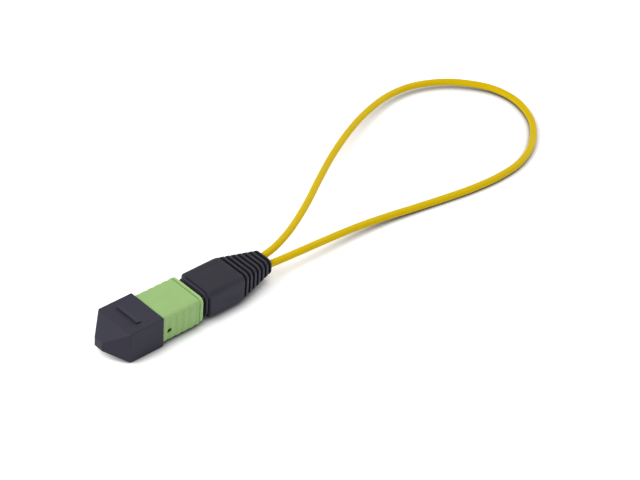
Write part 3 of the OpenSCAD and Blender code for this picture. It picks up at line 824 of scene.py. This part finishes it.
CORD_D = 2.1 * MM
CORD_ROUNDNESS = 10
CORD_STEPS = 10
CORD_ROUTE = [
    (15.3, -1.9, 4.75), (28.2, -1.9, 4.75), (33.2, -1.9, 4.4), (40.2, -1.9, 3.9), (50.2, -1.9, 3.3),
    (61.2, -2, 2.5), (72.2, -2.8, 1.75), (83.2, -4.4, 1.25), (94.2, -6.3, 1.1), (104.2, -7.8, 1.1),
    (114.2, -8.4, 1.1), (124.2, -7.5, 1.1), (133.2, -4.2, 1.1), (140.8, 1.2, 1.1), (146.4, 7.7, 1.1),
    (149.7, 16.4, 1.2), (149.1, 24.6, 1.4), (145, 31.4, 1.7), (138.1, 37.6, 1.9), (128.2, 41.5, 2.2),
    (117.2, 41.7, 2.5), (105.2, 38.7, 2.9), (93.2, 33.9, 3.3), (80.2, 27.3, 3.7), (68.2, 20.2, 4.1),
    (56.2, 12.8, 4.4), (45.2, 6.9, 4.6), (37.2, 3.6, 4.75), (32.2, 2.3, 4.75), (28.2, 1.9, 4.75),
    (15.3, 1.9, 4.75),
]
JACKET_YELLOW = (0.72, 0.505, 0.001)

route = [Vector(point) * MM for point in CORD_ROUTE]
cord_curve = bpy.data.curves.new("yellow_cord", "CURVE")
cord_curve.dimensions = "3D"
cord_curve.bevel_depth = CORD_D / 2
cord_curve.bevel_resolution = CORD_ROUNDNESS
cord_curve.resolution_u = CORD_STEPS
cord_curve.use_fill_caps = True
spline = cord_curve.splines.new("BEZIER")
spline.bezier_points.add(len(route) - 1)
for i, knot in enumerate(spline.bezier_points):
    reach = (route[min(i + 1, len(route) - 1)] - route[max(i - 1, 0)]) / 6
    knot.co = route[i]
    knot.handle_left = route[i] - reach
    knot.handle_right = route[i] + reach
cord = bpy.data.objects.new("yellow_cord", cord_curve)
bpy.context.collection.objects.link(cord)

jacket = Finish("Cord jacket", IOR=1.5, Specular_IOR_Level=0.06)
waves = jacket.noise(6 * MM, detail=2)
drawn = jacket.noise(0.3 * MM, detail=4)
patches = waves * 0.6 + drawn * 0.4
yellow = jacket.mix(patches, tint(JACKET_YELLOW, 0.92), tint(JACKET_YELLOW, 1.08))
jacket.set(Base_Color=yellow, Roughness=0.34 + drawn * 0.1)
jacket.bumps((waves, 0.05 * MM), (drawn, 0.004 * MM))
fit_out(cord, jacket, "plug", "loop_cord")


# ---- Dust cap ----
# A thin black moulding pushed over the nose and the front of the sleeve. Its
# box tapers to a small flat at the tip, and a low wedge on top is the place
# to push it off by.

CAP_NOSE_L = 5.3 * MM
CAP_TIP_W = 3.1 * MM
CAP_TIP_H = 2.8 * MM
CAP_TOP_EDGE = 0.3 * MM
CAP_LOW_EDGE = 0.5 * MM
CAP_NOSE_EDGE = 0.3 * MM
CAP_TIP_EDGE = 0.12 * MM
CAP_MOUTH_EDGE = 0.08 * MM
PAD_SETBACK = 3.9 * MM
PAD_W = 8.4 * MM
PAD_L = 2.2 * MM
PAD_H = 0.6 * MM
PAD_SINK = 0.03 * MM
PAD_EDGE = 0.06 * MM
PUSHED = 0.05 * MM  # play of the cap on the sleeve
HOUSING_ROOM_H = 1.9 * MM
HOUSING_ROOM_R = 0.6 * MM
NOSE_LEDGE = 0.5 * MM
NOSE_OVERLAP = 0.1 * MM
TIP_WALL = 0.8 * MM
TIP_ROOM_W = 3.5 * MM
TIP_ROOM_H = 2.6 * MM
CAP_BLACK = (0.032, 0.031, 0.048)

cap_low, cap_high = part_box("dust_cap")
cap_w = cap_high.y - cap_low.y
cap_h = cap_high.z - cap_low.z - PAD_H
cap_x0 = cap_low.x + CAP_NOSE_L
cap_top = cap_low.z + cap_h
pad_x = cap_x0 + PAD_SETBACK

cap = block("dust_cap_shell", cap_x0, cap_high.x, cap_w, cap_h)
round_long_edges(cap_w, cap_h, CAP_TOP_EDGE, segments=4, bottom=False)
round_long_edges(cap_w, cap_h, CAP_LOW_EDGE, segments=6, top=False)
pick("FACE", lambda c: near(c.x, cap_x0))
extrude_along(-CAP_NOSE_L)
taper = (1, CAP_TIP_W / cap_w, CAP_TIP_H / cap_h)
bpy.ops.transform.resize(value=taper, center_override=(cap_low.x, 0, AXIS_Z))
bevel_at(cap_x0, CAP_NOSE_EDGE, 4)
bevel_at(cap_low.x, CAP_TIP_EDGE, 3)
bpy.ops.object.mode_set(mode="OBJECT")

pad = block("pad", pad_x, pad_x + PAD_L, PAD_W, 2 * PAD_H, z=cap_top)
pick("VERT", lambda c: c.x > pad_x + PAD_H and c.z > cap_top)
bpy.ops.transform.translate(value=(0, 0, -PAD_H - PAD_SINK))
pick("EDGE", lambda c: c.x < pad_x + PAD_H and c.z > cap_top)
bpy.ops.mesh.bevel(offset=PAD_EDGE, segments=2, affect="EDGES")
bpy.ops.object.mode_set(mode="OBJECT")
combine(cap, pad, "UNION")

room_w = housing_w + 4 * SLIDING
room_h = housing_h + 4 * SLIDING
room_x = housing_low.x - SLIDING
combine(cap, bar("sleeve_room", sleeve_low.x - SLIDING, cap_high.x + CUT_PAST,
                 sleeve_w + 2 * PUSHED, sleeve_h + 2 * PUSHED, SLEEVE_R + PUSHED))
combine(cap, bar("housing_room", housing_low.x + NOSE_LEDGE, sleeve_low.x,
                 room_w, housing_h + HOUSING_ROOM_H, HOUSING_ROOM_R))
nose_room = block("nose_room", room_x, housing_low.x + NOSE_LEDGE + NOSE_OVERLAP, room_w, room_h)
pick("FACE", lambda c: near(c.x, room_x))
extrude_along(cap_low.x + TIP_WALL - room_x)
taper = (1, TIP_ROOM_W / room_w, TIP_ROOM_H / room_h)
bpy.ops.transform.resize(value=taper, center_override=(cap_low.x, 0, AXIS_Z))
bpy.ops.object.mode_set(mode="OBJECT")
combine(cap, nose_room)
select_only(cap)
bpy.ops.object.mode_set(mode="EDIT")
bevel_at(cap_high.x, CAP_MOUTH_EDGE, 2)
smooth(cap, 30)

cap_plastic = moulded(
    "Cap plastic", CAP_BLACK, roughness=0.5, grain=0.14 * MM, depth=0.005 * MM, gloss=0.15
)
fit_out(cap, cap_plastic, "cap", "dust_cap")


# ---- Studio ----
# A white floor under three large soft lamps, a strong one past the plug's nose
# and weaker ones past the cord and in front, with white surroundings that fill
# the sides. Close round what lies on it the floor is painted darker, a painted
# shadow on top of the real one, less so by the nose.

CAMERA_PLACE = (-0.27294, -0.31454, 0.34039)
CAMERA_TURN = math.radians(-45.75)
CAMERA_HEIGHT = math.radians(36.87)
CAMERA_ROLL = math.radians(5)
CAMERA_LENS = 112.78
FLOOR_SIZE = 8
FLOOR_GLOW = 0.55
FLOOR_WHITE = (0.85, 0.85, 0.85)
# The painted shadow's darkest floor colour, and how far from things it reaches.
FLOOR_PAINTED_SHADOW = (0.05, 0.05, 0.05)
FLOOR_BOUNCE = (0.9, 0.9, 0.9)
PAINTED_SHADOW_REACH = 3.8 * MM
NOSE_EASE = 0.8
NOSE_FADE = 2 * MM
FILL = 0.42
LAMP_SIZE = 0.45
LAMP_AIM = Vector((0.02, 0, 0))


class Surroundings(Finish):
    """The even white all round, on the world's background shader."""

    def __init__(self, name):
        self.material = bpy.data.worlds.new(name)
        self.material.use_nodes = True
        self.tree = self.material.node_tree
        self.shader = self.tree.nodes["Background"]


def looked_at(finish):
    """1 on the rays that show the background: from the camera, in a gloss and through glass."""
    camera, glossy, clear = (
        finish.node("LightPath", output=f"Is {ray} Ray") for ray in ("Camera", "Glossy", "Transmission")
    )
    return camera + glossy + clear


bpy.ops.object.select_all(action="DESELECT")
bpy.ops.mesh.primitive_plane_add(size=FLOOR_SIZE)
floor = bpy.context.object
floor.name = "floor"
paper = Finish("White floor", Roughness=0.9, Specular_IOR_Level=0.1)
seen = looked_at(paper)
# Painted shadow: the floor is painted darker where little open sky lies within reach, less so by the nose.
open_sky = paper.node("AmbientOcclusion", None, {"Distance": PAINTED_SHADOW_REACH}, output="AO").between(0.2, 1)
by_nose = 1 - paper.along("X").between(cap_low.x, cap_x0 + NOSE_FADE)
white = paper.mix(open_sky + by_nose * NOSE_EASE, FLOOR_PAINTED_SHADOW, FLOOR_WHITE)
paper.set(
    Base_Color=paper.mix(seen, FLOOR_BOUNCE, white),
    Emission_Color=paper.mix(seen, (0, 0, 0), white),
    Emission_Strength=FLOOR_GLOW,
)
floor.data.materials.append(paper.material)

surroundings = Surroundings("Studio")
strength = {"Value": looked_at(surroundings), "To Min": FILL, "To Max": 1.0}
surroundings.set(Color=(1, 1, 1, 1), Strength=surroundings.node("MapRange", None, strength))
bpy.context.scene.world = surroundings.material


def lamp(name, place, power):
    """A round soft lamp that points at the plug."""
    light = bpy.data.lights.new(name, "AREA")
    light.shape = "DISK"
    light.size = LAMP_SIZE
    light.energy = power
    piece = bpy.data.objects.new(name, light)
    piece.location = place
    piece.rotation_euler = (LAMP_AIM - piece.location).to_track_quat("-Z", "Y").to_euler()
    bpy.context.collection.objects.link(piece)


lamp("nose_lamp", (-0.52, 0.18, 0.48), power=3.6)
lamp("tail_lamp", (0.67, 0, 0.38), power=1.6)
lamp("front_lamp", (0.1, -0.65, 0.38), power=0.7)

camera_data = bpy.data.cameras.new("camera")
camera_data.sensor_width = 36
camera_data.lens = CAMERA_LENS
camera_data.clip_end = 20
camera = bpy.data.objects.new("camera", camera_data)
turn = Matrix.Rotation(CAMERA_TURN, 4, "Z") @ Matrix.Rotation(math.pi / 2 - CAMERA_HEIGHT, 4, "X")
camera.matrix_world = Matrix.Translation(CAMERA_PLACE) @ turn @ Matrix.Rotation(CAMERA_ROLL, 4, "Z")
bpy.context.collection.objects.link(camera)
bpy.context.scene.camera = camera
bpy.context.scene.view_settings.view_transform = "Standard"
